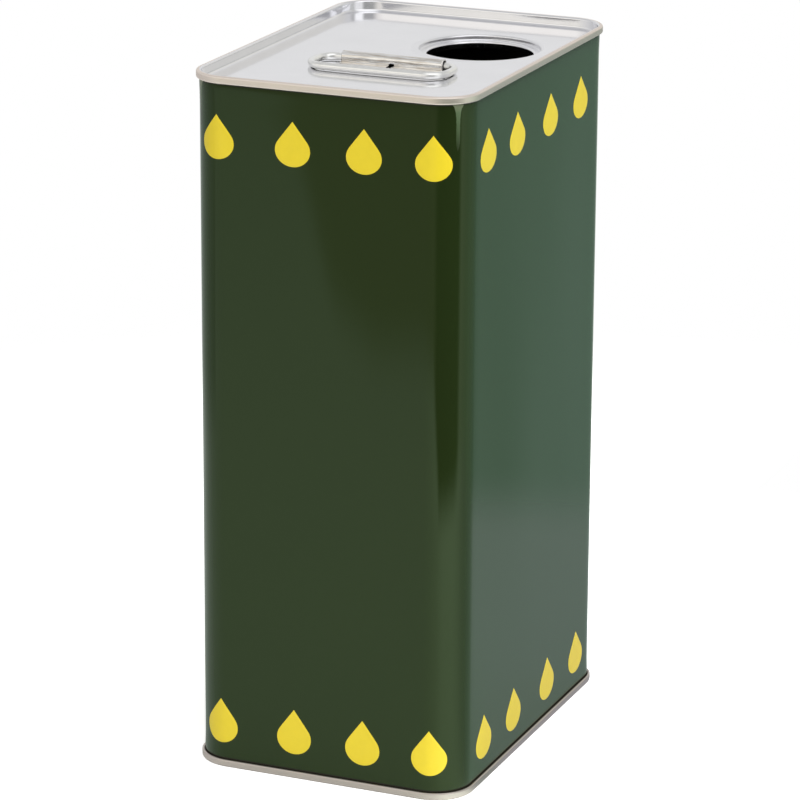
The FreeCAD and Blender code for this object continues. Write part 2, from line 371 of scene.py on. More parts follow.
def add_piece(name, body, points, faces, materials, finishes=None, stands_for=()):
    """A mesh piece that rides on a body, with its faces turned outwards and its sharp edges kept."""
    mesh = bpy.data.meshes.new(name)
    mesh.from_pydata(points.reshape(-1, 3).tolist(), [], faces)
    for material in materials:
        mesh.materials.append(material)
    if finishes is not None:
        mesh.polygons.foreach_set("material_index", finishes)
    shell = bmesh.new()
    shell.from_mesh(mesh)
    bmesh.ops.recalc_face_normals(shell, faces=shell.faces)
    shell.to_mesh(mesh)
    shell.free()
    mesh.shade_smooth()
    mesh.set_sharp_from_angle(angle=SHARP_EDGE)
    piece = bpy.data.objects.new(name, mesh)
    bpy.context.scene.collection.objects.link(piece)
    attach(piece, body)
    if stands_for:
        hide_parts(*stands_for)
    return piece


def node(tree, kind, sockets=None, **settings):
    """Adds a node, sets its own properties, and sets or links each named or numbered input."""
    made = tree.nodes.new(kind)
    for name, value in settings.items():
        setattr(made, name, value)
    for name, value in (sockets or {}).items():
        if isinstance(value, bpy.types.NodeSocket):
            tree.links.new(value, made.inputs[name])
        else:
            made.inputs[name].default_value = value
    return made


def new_material(name, **sockets):
    """A material with one Principled shader. Returns it, its node tree, the shader and Object coordinates."""
    material = bpy.data.materials.new(name)
    material.use_nodes = True
    tree = material.node_tree
    shader = tree.nodes["Principled BSDF"]
    for socket, value in sockets.items():
        shader.inputs[socket.replace("_", " ")].default_value = value
    return material, tree, shader, node(tree, "ShaderNodeTexCoord").outputs["Object"]


def per_feature(millimetres):
    """Texture scale of a pattern whose features are that wide."""
    return 1 / (millimetres * MM)


def shaded(base, factor):
    """A linear colour made lighter or darker."""
    return (*(min(1.0, channel * factor) for channel in base[:3]), 1.0)


def vary(tree, shader, base, spread, pattern):
    """Lets the base colour wander between a darker and a lighter tone with a pattern."""
    mixed = node(tree, "ShaderNodeMix",
                 {0: pattern, 6: shaded(base, 1 - spread), 7: shaded(base, 1 + spread)},
                 data_type="RGBA")
    tree.links.new(mixed.outputs[2], shader.inputs["Base Color"])


def spread_roughness(tree, shader, low, high, pattern):
    """Lets the roughness wander between two values with a pattern."""
    ranged = node(tree, "ShaderNodeMapRange", {"Value": pattern, "To Min": low, "To Max": high})
    tree.links.new(ranged.outputs["Result"], shader.inputs["Roughness"])


def mottled(name, ior, base, spread, low, high, feature_mm):
    """A material whose colour and roughness wander together, with one noise of that feature size."""
    material, tree, shader, spot = new_material(name, IOR=ior)
    cloud = node(tree, "ShaderNodeTexNoise",
                 {"Vector": spot, "Scale": per_feature(feature_mm), "Detail": 3.0})
    vary(tree, shader, base, spread, cloud.outputs["Fac"])
    spread_roughness(tree, shader, low, high, cloud.outputs["Fac"])
    return material


def fill_ramp(ramp, stops):
    """Gives a colour ramp its stops, each a position and a linear colour. Returns its colour."""
    elements = ramp.color_ramp.elements
    while len(elements) < len(stops):
        elements.new(0.5)
    for element, (position, tone) in zip(elements, stops):
        element.position = position
        element.color = tone
    return ramp.outputs["Color"]


def stove_lacquer(base):
    """Translucent green alkyd lacquer, rolled on tinplate and stoved: deep gloss, a trace of orange peel.

    The tin under it glows through in green, more so at a slant, which the sheen stands for.
    """
    material, tree, shader, spot = new_material(
        "gloss_green_stove_lacquer", IOR=1.44, Specular_Tint=linear("#e3ffd3"),
        Sheen_Weight=0.11, Sheen_Roughness=0.45, Sheen_Tint=linear("#8ff5b4"))
    cloud = node(tree, "ShaderNodeTexNoise", {"Vector": spot, "Scale": per_feature(45), "Detail": 3.0})
    vary(tree, shader, base, 0.06, cloud.outputs["Fac"])
    haze = node(tree, "ShaderNodeTexNoise", {"Vector": spot, "Scale": per_feature(6), "Detail": 4.0})
    spread_roughness(tree, shader, 0.03, 0.06, haze.outputs["Fac"])
    # The peel is about 1.5 mm wide on such sheet, and only just shows where a reflection ends.
    peel = node(tree, "ShaderNodeTexNoise", {"Vector": spot, "Scale": per_feature(1.5), "Detail": 1.0})
    bump = node(tree, "ShaderNodeBump",
                {"Height": peel.outputs["Fac"], "Strength": 0.25, "Distance": 0.006 * MM})
    tree.links.new(bump.outputs["Normal"], shader.inputs["Normal"])
    return material


def strain_highlight_lacquer(base, start, end):
    """Lacquer stretched over the flanged corner: dulled by fine cracks, and paler towards the seam as a painted
    highlight.
    """
    material, tree, shader, spot = new_material("green_lacquer_painted_highlight", IOR=1.44, Roughness=0.3)
    height = node(tree, "ShaderNodeSeparateXYZ", {0: spot}).outputs["Z"]
    share = node(tree, "ShaderNodeMapRange", {"Value": height, "From Min": end, "From Max": start})
    ramp = node(tree, "ShaderNodeValToRGB", {0: share.outputs["Result"]})
    painted_highlight = fill_ramp(ramp, [(0.0, base), *((position, linear(tone)) for position, tone in STRAIN_HIGHLIGHT_TONES)])
    tree.links.new(painted_highlight, shader.inputs["Base Color"])
    return material


def printing_ink(base):
    """Opaque litho ink under the same clear gloss: even colour, slightly mottled where it was stamped on."""
    return mottled("yellow_litho_ink", 1.42, base, 0.035, 0.16, 0.24, feature_mm=3)


def lining_lacquer(base):
    """Phenolic lining inside the tin: dark and satin."""
    return mottled("dark_phenolic_lining", 1.5, base, 0.15, 0.4, 0.55, feature_mm=20)


def painted_shade_film(name):
    """Painted shade in a thin dark brown film: along the seams under their overhang, and inside the clip's fold.
    """
    return mottled(name, 1.46, linear("#1d190f"), 0.3, 0.45, 0.6, feature_mm=2)


def cured_compound():
    """Water-based rubber compound, dried to a matt grey bead inside the seam."""
    return mottled("cured_seam_compound", 1.5, linear("#898985"), 0.12, 0.7, 0.85, feature_mm=0.8)


def tinplate(name, base, grain_mm, low, high):
    """Cold rolled steel with a flow-melted tin coat: mirror bright, veiled by fine rolling grain along X.

    Real rolling grain is a few hundredths of a millimetre wide; it is drawn coarser so that it shows.
    """
    material, tree, shader, spot = new_material(name, Metallic=1.0)
    stretched = node(tree, "ShaderNodeMapping", {"Vector": spot, "Scale": (0.04, 1.0, 1.0)})
    grain = node(tree, "ShaderNodeTexNoise",
                 {"Vector": stretched.outputs["Vector"], "Scale": per_feature(grain_mm), "Detail": 3.0})
    cloud = node(tree, "ShaderNodeTexNoise", {"Vector": spot, "Scale": per_feature(14), "Detail": 4.0})
    vary(tree, shader, base, 0.05, cloud.outputs["Fac"])
    spread_roughness(tree, shader, low, high, grain.outputs["Fac"])
    bump = node(tree, "ShaderNodeBump",
                {"Height": grain.outputs["Fac"], "Strength": 0.2, "Distance": 0.004 * MM})
    tree.links.new(bump.outputs["Normal"], shader.inputs["Normal"])
    return material


def folded_strap(base):
    """Cold folded tinplate strap: satin, with bright and dull die lines along its length."""
    material, tree, shader, spot = new_material("warm_strap_tinplate", Metallic=1.0)
    stretched = node(tree, "ShaderNodeMapping", {"Vector": spot, "Scale": (0.06, 1.0, 1.0)})
    lines = node(tree, "ShaderNodeTexNoise",
                 {"Vector": stretched.outputs["Vector"], "Scale": per_feature(0.7), "Detail": 4.0,
                  "Roughness": 0.65})
    edged = node(tree, "ShaderNodeMapRange",
                 {"Value": lines.outputs["Fac"], "From Min": 0.32, "From Max": 0.62})
    vary(tree, shader, base, 0.4, edged.outputs["Result"])
    spread_roughness(tree, shader, 0.1, 0.26, lines.outputs["Fac"])
    longer = node(tree, "ShaderNodeMapping", {"Vector": spot, "Scale": (0.3, 1.0, 1.0)})
    creases = node(tree, "ShaderNodeTexNoise",
                   {"Vector": longer.outputs["Vector"], "Scale": per_feature(2.5), "Detail": 2.0})
    crumple = node(tree, "ShaderNodeBump",
                   {"Height": creases.outputs["Fac"], "Strength": 0.6, "Distance": 0.4 * MM})
    bump = node(tree, "ShaderNodeBump",
                {"Height": lines.outputs["Fac"], "Strength": 0.5, "Distance": 0.03 * MM,
                 "Normal": crumple.outputs["Normal"]})
    tree.links.new(bump.outputs["Normal"], shader.inputs["Normal"])
    return material


def drawn_wire(base):
    """Galvanised drawn wire: bright zinc with a soft spangle, dulled by a fine grain from die and bath."""
    material, tree, shader, spot = new_material("galvanised_drawn_wire", Metallic=1.0)
    # U counts turns' lengths and V half turns, so the grain is about 0.16 mm wide both ways on 3 mm wire.
    around = node(tree, "ShaderNodeUVMap")
    grains = node(tree, "ShaderNodeMapping", {"Vector": around.outputs["UV"], "Scale": (60.0, 30.0, 1.0)})
    grain = node(tree, "ShaderNodeTexNoise",
                 {"Vector": grains.outputs["Vector"], "Scale": 1.0, "Detail": 3.0})
    spangle = node(tree, "ShaderNodeTexNoise", {"Vector": spot, "Scale": per_feature(2.5), "Detail": 2.0})
    vary(tree, shader, base, 0.08, spangle.outputs["Fac"])
    spread_roughness(tree, shader, 0.18, 0.34, grain.outputs["Fac"])
    bump = node(tree, "ShaderNodeBump",
                {"Height": grain.outputs["Fac"], "Strength": 0.3, "Distance": 0.01 * MM})
    tree.links.new(bump.outputs["Normal"], shader.inputs["Normal"])
    return material


def seam_layers(body, ends):
    """Distances of a double seam's layers outwards from the body's face, and its bends and heights."""
    chuck_wall = -body.sheet - ends.seam_gap - ends.sheet / 2
    body_wall = -body.sheet / 2
    cover_hook = ends.seam_gap + ends.sheet / 2
    body_hook = 2 * ends.seam_gap + ends.sheet + body.sheet / 2
    seam_wall = 3 * ends.seam_gap + 1.5 * ends.sheet + body.sheet
    body_bend = (body_hook - body_wall) / 2
    cover_bend = (seam_wall - cover_hook) / 2
    hook_clearance = 0.05 * MM
    body_fold = ends.sheet + ends.seam_gap + body.sheet / 2
    return {
        "chuck_wall": chuck_wall,
        "body_wall": body_wall,
        "cover_hook": cover_hook,
        "body_hook": body_hook,
        "seam_wall": seam_wall,
        "body_bend": body_bend,
        "cover_bend": cover_bend,
        "bead_bend": (seam_wall - chuck_wall - ends.bead_flat) / 2,
        "body_fold": body_fold,
        "body_hook_end": ends.seam_height - ends.sheet / 2 - cover_bend - hook_clearance,
        "cover_hook_end": body_fold + body_bend + hook_clearance,
    }


def body_section(body, ends):
    """Middle line of the body's sheet from the lower hook to the upper one, with more points by the seams."""
    seam = seam_layers(body, ends)
    wall, hook, hook_end = seam["body_wall"], seam["body_hook"], seam["body_hook_end"]
    fold_low, fold_high = seam["body_fold"], body.height - seam["body_fold"]
    near = ends.seam_height + np.geomspace(0.3 * MM, 14 * MM, 12)
    middle = np.linspace(near[-1], body.height - near[-1], 44)
    heights = np.concatenate([near, middle[1:-1], body.height - near[::-1]])
    return bent_line(
        [(hook, hook_end), (hook, fold_low), (wall, fold_low), *[(wall, height) for height in heights],
         (wall, fold_high), (hook, fold_high), (hook, body.height - hook_end)],
        [seam["body_bend"]] * 2 + [0.0] * len(heights) + [seam["body_bend"]] * 2)


class OILTIN_OT_body(bpy.types.Operator):
    """Rolls and welds the lacquered body"""
    bl_idname = "oil_tin.body"
    bl_label = "Body"

    def execute(self, context):
        body, ends = context.scene.tin_body, context.scene.tin_ends
        line, lefts = body_section(body, ends)
        # The line runs upwards, so its right-hand side is the outside of the tin.
        section = np.concatenate([line - lefts * body.sheet / 2, (line + lefts * body.sheet / 2)[::-1]])
        section_u, section_z = section[:, 0][None, :], section[:, 1][None, :]
        weld = outline_stops(body)[-1] / 2
        lap_edge, lap_fade = 0.06 * MM, 0.4 * MM
        lap_stops = [body.lap_width / 2, body.lap_width / 2 + lap_edge]
        beside_weld = np.array([*lap_stops, body.bare_margin])
        along = outline_spots(
            body, BODY_STEP, BODY_CORNER_STEPS, np.concatenate([weld - beside_weld, weld + beside_weld]))
        grid_along = np.broadcast_to(along[:, None], (len(along), len(section)))
        # The weld's lap stands proud on the outside and sinks where it runs under the seams.
        from_seam = np.minimum(section_z, body.height - section_z) - ends.seam_height - ends.seam_gap
        lap = np.interp(np.abs(grid_along - weld), lap_stops, [1, 0]) * np.clip(from_seam / lap_fade, 0, 1)
        is_outside = np.arange(len(section)) < len(line)
        outwards = section_u + swell(body, grid_along, section_z) + body.lap_proud * lap * is_outside
        points = on_body(body, grid_along, section_z, outwards)
        faces = grid_faces(len(along), len(section), True, True)
        lacquered, bare, lined, seam_shade = range(4)
        materials = [stove_lacquer(body.lacquer),
                     tinplate("weld_margin_tinplate", shaded(ends.tin, 0.85), 0.5, 0.2, 0.38),
                     lining_lacquer(body.lining), painted_shade_film("seam_edge_painted_shade")]
        step_middles = along + np.diff(along, append=2 * weld) / 2
        by_weld = np.abs(step_middles - weld) < body.bare_margin
        outer_faces = np.arange(len(section)) < len(line) - 1
        face_z = (section[:, 1] + np.roll(section[:, 1], -1)) / 2
        # A band of faces next to each seam takes the dark film: painted shade where the seam's overhang shades the
        # lacquer.
        in_seam_shade = (np.minimum(face_z, body.height - face_z) - ends.seam_height < body.seam_shade_line) & outer_faces
        finishes = np.where(outer_faces[None, :], np.where(by_weld[:, None], bare, lacquered), lined)
        finishes = np.where(in_seam_shade[None, :], seam_shade, finishes).ravel()
        add_piece("lacquered_body", "tin", points, faces.tolist(), materials, finishes,
                  ["body_shell"])
        self.strain_marks(body, ends)
        return {"FINISHED"}

    def strain_marks(self, body, ends):
        """A streak down each corner from the top seam.

        Its width is the head's * exp(-depth / decay), plus the mark's, which ends as the root of the distance
        left over the tail's length. It stands proud by 1 - a^4 across it, with a from -1 to 1, and its edges
        dip under the lacquer.
        """
        decay, tail = 1.5 * MM, 4 * MM
        least, proud, dip = 0.02 * MM, 0.025 * MM, 0.01 * MM
        # The streaks lie a little off the middle of each bend, towards the wide faces.
        bend_shares = np.array([0.53, 0.47, 0.53, 0.47])
        stops = outline_stops(body)
        centres = stops[[1, 3, 5, 7]] + (stops[2] - stops[1]) * bend_shares
        depth = np.concatenate([np.linspace(0, tail, 14), np.linspace(tail, body.mark_length, 14)[1:]])
        share = np.linspace(-1, 1, 9)
        fade = np.clip((body.mark_length - depth) / tail, 0, 1) ** 0.5
        half_width = (body.mark_width * fade + body.mark_head * np.exp(-depth / decay)) / 2 + least
        along = centres[:, None, None] + half_width[None, :, None] * share
        start = body.height - ends.seam_height
        height = np.broadcast_to(start - depth[None, :, None], along.shape)
        points = on_body(body, along, height, proud * (1 - share ** 4) - dip + swell(body, along, height))
        quads = grid_faces(len(depth), len(share), False, False)
        faces = copies_of(quads, len(centres), len(depth) * len(share))
        add_piece("strained_corners", "tin", points, faces.tolist(),
                  [strain_highlight_lacquer(body.lacquer, start, start - body.mark_length)])


class OILTIN_OT_drops(bpy.types.Operator):
    """Prints two rows of drops round the body"""
    bl_idname = "oil_tin.drops"
    bl_label = "Printed drops"

    def execute(self, context):
        body, drop = context.scene.tin_body, context.scene.tin_drops
        # The print repeats every half turn: a narrow face, then a wide one.
        stops = outline_stops(body)
        wide_middle = (stops[2] + stops[3]) / 2
        half_print = np.concatenate([drop.narrow_places, wide_middle + np.array(drop.wide_upper),
                                     drop.narrow_places, wide_middle + np.array(drop.wide_lower)])
        rows = np.array([body.height - drop.upper_margin, drop.lower_margin])
        half_heights = np.repeat(np.stack([rows, rows - drop.wide_sink], -1).ravel(), 4)
        centre_along = np.append(half_print, half_print + stops[-1] / 2)[:, None, None]
        centre_height = np.append(half_heights, half_heights)[:, None, None]
        stretch = np.tile(np.repeat([1, drop.wide_stretch], 4), 4)[:, None, None]
        squash = np.outer([drop.upper_squash, 1], [1, drop.wide_squash])
        squash = np.tile(np.repeat(squash, 4), 2)[:, None, None]
        # From its tip down to its widest place a drop has straight sides that round off: with x the depth
        # below the tip over that place's depth, times the taper, half its width is
        # radius * (x^-n + 1)^(-1/n). Below that place it is half an ellipse.
        n = 12
        widest = drop.widest * drop.height
        depth = drop.height * (1 - np.cos(np.linspace(0, np.pi, 49))) / 2
        x = np.clip(drop.taper * depth / widest, 1e-3, drop.taper)
        below = np.clip((depth - widest) / (drop.height - widest), 0, 1)
        half = drop.width / 2 * (x ** -n + 1) ** (-1 / n) * np.sqrt(1 - below ** 2)
        edge_across = np.append(half, -half[-2:0:-1])
        edge_up = widest - np.append(depth, depth[-2:0:-1])
        # Rings as shares of the outline: from the middle of the hidden side to the edge and back over the ink.
        shares = np.array([0.1, 0.5, 0.99, 1.0, 0.975, 0.8, 0.6, 0.4, 0.2, 0.1])
        raised = np.array([-0.5, -0.5, -0.5, 0.4, 1, 1, 1, 1, 1, 1]) * drop.ink_thickness
        across = shares[:, None] * edge_across[None, :]
        upwards = shares[:, None] * edge_up[None, :] + drop.height / 2 - widest
        spot_along = centre_along + across[None] * stretch
        spot_height = centre_height + upwards[None] * squash
        proud = raised[None, :, None] + swell(body, spot_along, spot_height)
        points = on_body(body, spot_along, spot_height, proud)
        count, rings, spokes = spot_along.shape
        quads = copies_of(grid_faces(rings, spokes, False, True), count, rings * spokes)
        inner_rings = np.arange(spokes) + np.array([[0], [rings - 1]]) * spokes
        caps = copies_of(inner_rings, count, rings * spokes)
        add_piece("printed_drops", "tin", points, quads.tolist() + caps.tolist(),
                  [printing_ink(drop.ink)])
        return {"FINISHED"}


def end_section(body, ends):
    """Middle line of an end's edge, for the top: cover hook, seam bead, upright wall, countersink."""
    seam = seam_layers(body, ends)
    fold = body.height - ends.seam_height + ends.sheet / 2
    bead = body.height - ends.sheet / 2
    panel = body.height - ends.panel_drop - ends.sheet / 2
    return bent_line(
        [(seam["cover_hook"], body.height - seam["cover_hook_end"]), (seam["cover_hook"], fold),
         (seam["seam_wall"], fold), (seam["seam_wall"], bead), (seam["chuck_wall"], bead),
         (seam["chuck_wall"], panel), (seam["chuck_wall"] - ends.countersink_radius, panel)],
        [seam["cover_bend"]] * 2 + [seam["bead_bend"]] * 2 + [ends.countersink_radius])


def recess_section(ends, panel):
    """Middle line of the recess, from the panel's height inwards: upright wall, ledge, rim of the hole."""
    rim = ends.hole_radius + ends.sheet / 2
    wall = rim + ends.ledge
    ledge = panel - ends.recess_depth
    return bent_line(
        [(wall + ends.bend_radius, panel), (wall, panel), (wall, ledge), (rim, ledge),
         (rim, ledge - ends.rim_depth)],
        [ends.bend_radius] * 3)


def at_heights(plan, heights):
    """Rows of points in plan, each row lifted to its height."""
    return np.concatenate([plan, np.broadcast_to(heights[:, None, None], (*plan.shape[:2], 1))], -1)


def end_sides(body, ends, along, hole):
    """Both faces of an end as grids of points, row by row from the cover hook inwards.

    The edge's section is carried round the body. The panel is a straight blend from the edge's last ring to a
    ring round the hole's middle, or to its own middle, with a product of two sines for its ripple. The recess
    is turned about the hole's middle.
    """
    line, lefts = end_section(body, ends)
    inner, direction, _ = outline(body, along)
    middle = np.array(hole[:2]) if hole else np.zeros(2)
    last_ring = inner + direction * (body.corner_radius + line[-1, 0])
    radial = last_ring - middle
    reach = np.linalg.norm(radial, axis=1)[:, None]
    if hole:
        turned, turned_lefts = recess_section(ends, line[-1, 1])
        blend_end = turned[0, 0] / reach
    else:
        turned, turned_lefts = np.zeros((0, 2)), np.zeros((0, 2))
        blend_end = np.full_like(reach, 0.06)
    shares = np.linspace(0, 1, 24)[1:-1 if hole else None][:, None, None]
    plan = middle + radial[None] * (1 + (blend_end - 1)[None] * shares)
    wave = np.prod(np.sin(plan / PANEL_WAVES + PANEL_PHASES), -1, keepdims=True)
    wave = wave * np.sin(np.pi * shares) * ends.panel_ripple
    sides = []
    for half in (ends.sheet / 2, -ends.sheet / 2):
        edge = line - lefts * half
        ring = inner[None] + direction[None] * (body.corner_radius + edge[:, 0])[:, None, None]
        panel = np.concatenate([plan, line[-1, 1] + half + wave], -1)
        dish = turned - turned_lefts * half
        recess = middle + (radial / reach)[None] * dish[:, 0][:, None, None]
        sides.append(np.concatenate([at_heights(ring, edge[:, 1]), panel, at_heights(recess, dish[:, 1])]))
    return sides


class OILTIN_OT_ends(bpy.types.Operator):
    """Presses the two ends and seams them on"""
    bl_idname = "oil_tin.ends"
    bl_label = "Seamed ends"

    def execute(self, context):
        body, ends = context.scene.tin_body, context.scene.tin_ends
        along = outline_spots(body, END_STEP, END_CORNER_STEPS)
        bright, lined, burnished, bottom_seam_shade, drawn = range(5)
        materials = [tinplate("bright_tinplate", ends.tin, 0.45, 0.07, 0.14), lining_lacquer(body.lining),
                     tinplate("burnished_seam_tinplate", ends.seam, 0.6, 0.36, 0.5),
                     # The bottom seam's tinplate is darker: painted shade, for the shaded floor it mirrors.
                     tinplate("bottom_seam_painted_shade_tinplate", shaded(ends.seam, 0.64), 0.6, 0.24, 0.36),
                     tinplate("drawn_recess_tinplate", ends.tin, 0.6, 0.2, 0.3)]
        # The rolls rub the first rows from the cover hook; on the bottom these rows are also darker, as painted
        # shade. The hole's rim stays bright.
        rubbed_rows = 0.6 * (len(end_section(body, ends)[0]) - 1)
        recess_rows = len(recess_section(ends, 0)[0]) + 1
        rim_rows = 6
        ring = np.arange(len(along))
        for name, node_name, hole in (("seamed_top", "top_end", pour_hole["pos_m"]),
                                      ("seamed_bottom", "bottom_end", None)):
            outside, inside = end_sides(body, ends, along, hole)
            rows = len(outside)
            points = np.concatenate([outside, inside[::-1]] if hole else [outside[::-1], inside])
            faces = grid_faces(2 * rows, len(along), bool(hole), True)
            row = np.arange(len(faces) // len(along))
            from_hook = row if hole else rows - 2 - row
            on_seam = (row < rows) & (from_hook < rubbed_rows)
            in_recess = (row >= rows - recess_rows) & (row < rows - rim_rows) & bool(hole)
            finish = np.where(on_seam, burnished if hole else bottom_seam_shade, np.where(in_recess, drawn, bright))
            finishes = np.repeat(np.where(row >= rows, lined, finish), len(along))
            faces = faces.tolist()
            if not hole:
                points = points * (1, 1, -1) + (0, 0, body.height)
                faces += [ring.tolist(), ((2 * rows - 1) * len(along) + ring).tolist()]
                finishes = np.append(finishes, [bright, lined])
            add_piece(name, "tin", points, faces, materials, finishes, [node_name])
        return {"FINISHED"}


class OILTIN_OT_clip(bpy.types.Operator):
    """Folds the clip over the wire and welds it down"""
    bl_idname = "oil_tin.clip"
    bl_label = "Handle clip"

    def execute(self, context):
        clip = context.scene.tin_clip
        reach = (clip_high.y - clip_low.y) / 2
        half = reach - clip.flange
        foot, crown = clip_low.z + clip.sheet / 2, clip_high.z - clip.sheet / 2
        feet = np.linspace(-reach, -half - 2 * clip.foot_radius, 9)
        front = [(y, foot) for y in feet]
        flat = [0.0] * (len(front) - 1)
        line, _ = bent_line(
            [*front, (-half, foot), (-half, clip_low.z + clip.notch_height), (-half, crown), (half, crown),
             (half, foot), *[(-y, z) for y, z in front[::-1]]],
            [*flat, clip.foot_radius, 0.0, half, half, clip.foot_radius, *flat],
            math.radians(9))
        half_length = (clip_high.x - clip_low.x) / 2
        notch = clip.notch_width / 2 / half_length
        share = np.unique(np.concatenate([np.linspace(-1, -notch, 56), np.linspace(-notch, notch, 5),
                                          np.linspace(notch, 1, 56)]))
        # The feet's corners are quarter circles: within r of the edge the length shrinks by
        # r - sqrt(r^2 - d^2).
        into_corner = np.clip(np.abs(line[:, 0]) - (reach - clip.corner_radius), 0, clip.corner_radius)
        shrink = clip.corner_radius - np.sqrt(clip.corner_radius ** 2 - into_corner ** 2)
        x = share[None, :] * (half_length - shrink)[:, None]
        y = np.broadcast_to(line[:, :1], x.shape)
        z = np.broadcast_to(line[:, 1:], x.shape)
        # The barrel was closed by hand tools, so its crown wanders a little, by a product of slow sines. Four
        # spot welds dimple each foot by exp(-(distance / radius)^4).
        on_crown = np.clip((z - foot) / (crown - foot), 0, 1) ** 2
        wander = np.sin(x / (3.1 * MM) + 0.7) * np.cos(x / (7.3 * MM)) * np.cos(y / (1.6 * MM) + x / (9 * MM))
        z = z - clip.dent * on_crown * (0.5 + 0.5 * wander)
        weld_x = np.linspace(-0.78, 0.78, 4) * half_length
        weld_y = half + clip.foot_radius + (clip.flange - clip.foot_radius) / 2
        from_weld = np.hypot(x[..., None] - weld_x, (np.abs(y) - weld_y)[..., None]).min(-1)
        on_feet = z < foot + 0.01 * MM
        z = z - clip.weld_depth * np.exp(-(from_weld / clip.weld_radius) ** 4) * on_feet
        middle_x, middle_y = (clip_low.x + clip_high.x) / 2, (clip_low.y + clip_high.y) / 2
        points = np.stack([x + middle_x, y + middle_y, z], -1)
        faces = grid_faces(len(line), len(share), False, False)
        centre = points.reshape(-1, 3)[faces].mean(1)
        in_notch = (np.abs(centre[:, 0] - middle_x) < clip.notch_width / 2) & (centre[:, 1] < middle_y) & (
            centre[:, 2] < clip_low.z + clip.notch_height)
        piece = add_piece("folded_clip", "tin", points, faces[~in_notch].tolist(),
                          [folded_strap(clip.strap), painted_shade_film("clip_inside_painted_shade")], None, ["handle_clip"])
        if piece.data.polygons[0].normal.z < 0:
            piece.data.flip_normals()
        thick = piece.modifiers.new("Sheet", "SOLIDIFY")
        thick.thickness = clip.sheet
        thick.offset = 0.0
        thick.use_even_offset = True
        # The inside faces take the dark film: painted shade inside the fold.
        thick.material_offset = 1
        return {"FINISHED"}


class OILTIN_OT_wire(bpy.types.Operator):
    """Bends the wire handle"""
    bl_idname = "oil_tin.wire"
    bl_label = "Wire handle"

    def execute(self, context):
        wire = context.scene.tin_wire
        radius = wire.diameter / 2
        half_width = (wire_high.x - wire_low.x) / 2 - radius
        reach = swing.y - wire_low.y - radius
        gap = wire.end_gap / 2
        middle_x = (wire_low.x + wire_high.x) / 2
        stops = np.linspace(0.75, -0.75, 15) * half_width
        line, lefts = bent_line(
            [(gap, 0), (half_width, 0), (half_width, -reach), *[(x, -reach) for x in stops],
             (-half_width, -reach), (-half_width, 0), (-gap, 0)],
            [wire.rear_bend, wire.front_bend, *[0.0] * len(stops), wire.front_bend, wire.rear_bend],
            math.radians(5))
        # The front run strays a little, by two sines that fade towards the bends.
        fade = np.clip(-line[:, 1] / reach, 0, 1) ** 8 * np.cos(np.pi * line[:, 0] / half_width / 2) ** 2
        waves = np.sin(line[:, 0] / (6 * MM)) + 0.5 * np.sin(line[:, 0] / (2.7 * MM) + 1)
        stray = wire.waver * fade * waves
        along = np.append(0, np.cumsum(np.linalg.norm(np.diff(line, axis=0), axis=1)))
        turn = np.linspace(0, 2 * np.pi, 29)[:-1]
        # The cut ends are eased.
        size = np.full(len(line), radius)
        size[[0, -1]] = radius - 0.2 * MM
        plan = line[:, None, :] + lefts[:, None, :] * (size[:, None] * np.cos(turn))[..., None]
        plan[..., 1] += stray[:, None]
        height = swing.z + size[:, None] * np.sin(turn)
        points = np.concatenate([plan + (middle_x, swing.y), height[..., None]], -1)
        faces = grid_faces(len(line), len(turn), False, True)
        ring = np.arange(len(turn))
        caps = [ring.tolist(), ((len(line) - 1) * len(turn) + ring).tolist()]
        piece = add_piece("bent_wire", "handle", points, faces.tolist() + caps,
                          [drawn_wire(wire.zinc)], None, ["wire_handle"])
        corner_vertex = np.zeros(len(piece.data.loops), int)
        piece.data.loops.foreach_get("vertex_index", corner_vertex)
        uv = np.stack([along[corner_vertex // len(turn)] / (wire.diameter * np.pi),
                       np.abs(corner_vertex % len(turn) / len(turn) * 2 - 1)], -1)
        piece.data.uv_layers.new(name="UVMap").data.foreach_set("uv", uv.ravel())
        return {"FINISHED"}


class OILTIN_OT_compound(bpy.types.Operator):
    """Gives the sealing compound in the seams its finish"""
    bl_idname = "oil_tin.compound"
    bl_label = "Sealing compound"

    def execute(self, context):
        material = cured_compound()
        for name in ("top_seam_compound", "bottom_seam_compound"):
            mesh = frame["nodes"][name].data
            mesh.materials.clear()
            mesh.materials.append(material)
        return {"FINISHED"}


def by_bearing(tree, x, y, levels):
    """A colour that follows the bearing of a place or direction from the front, from stops in degrees."""
    from_front = node(tree, "ShaderNodeMath", {0: y, 1: -1.0}, operation="MULTIPLY")
    bearing = node(tree, "ShaderNodeMath", {0: x, 1: from_front.outputs[0]}, operation="ARCTAN2")
    share = node(tree, "ShaderNodeMapRange",
                 {"Value": bearing.outputs[0], "From Min": -np.pi, "From Max": np.pi})
    ramp = node(tree, "ShaderNodeValToRGB", {0: share.outputs[0]})
    tones = [(*level, 1) if len(level) == 3 else (*level * 3, 1) for _, *level in levels]
    return fill_ramp(ramp, [((degrees + 180) / 360, tone) for (degrees, *_), tone in zip(levels, tones)])


